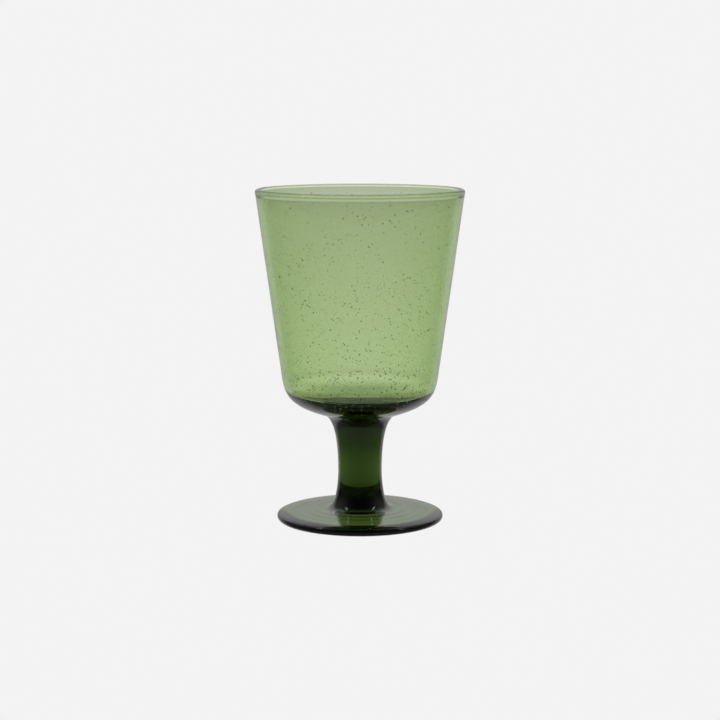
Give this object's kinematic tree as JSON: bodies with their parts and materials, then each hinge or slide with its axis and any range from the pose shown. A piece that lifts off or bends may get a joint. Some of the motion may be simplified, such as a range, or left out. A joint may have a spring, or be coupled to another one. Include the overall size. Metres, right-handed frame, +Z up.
{
  "type": "wine glass",
  "caption": "Stemmed wine goblet in green glass, with a flaring seeded bowl fused to a short solid stem and a round, shallow-coned foot.",
  "frame": {"origin": "middle of the flat ring that the foot rests on", "axes": "+Z runs up the axis from the foot through the stem to the lip; the goblet is round, so X and Y are any two directions across it"},
  "size_m": [0.0844, 0.0844, 0.135],
  "materials": {
    "bowl_glass": "fire-polished green glass with fine air seeds",
    "stem_glass": "fire-polished clear green glass, dark in the solid",
    "foot_glass": "fire-polished clear green glass"
  },
  "bodies": {
    "root": {"bowl": "bowl_glass", "stem": "stem_glass", "foot": "foot_glass"}
  },
  "joints": []
}
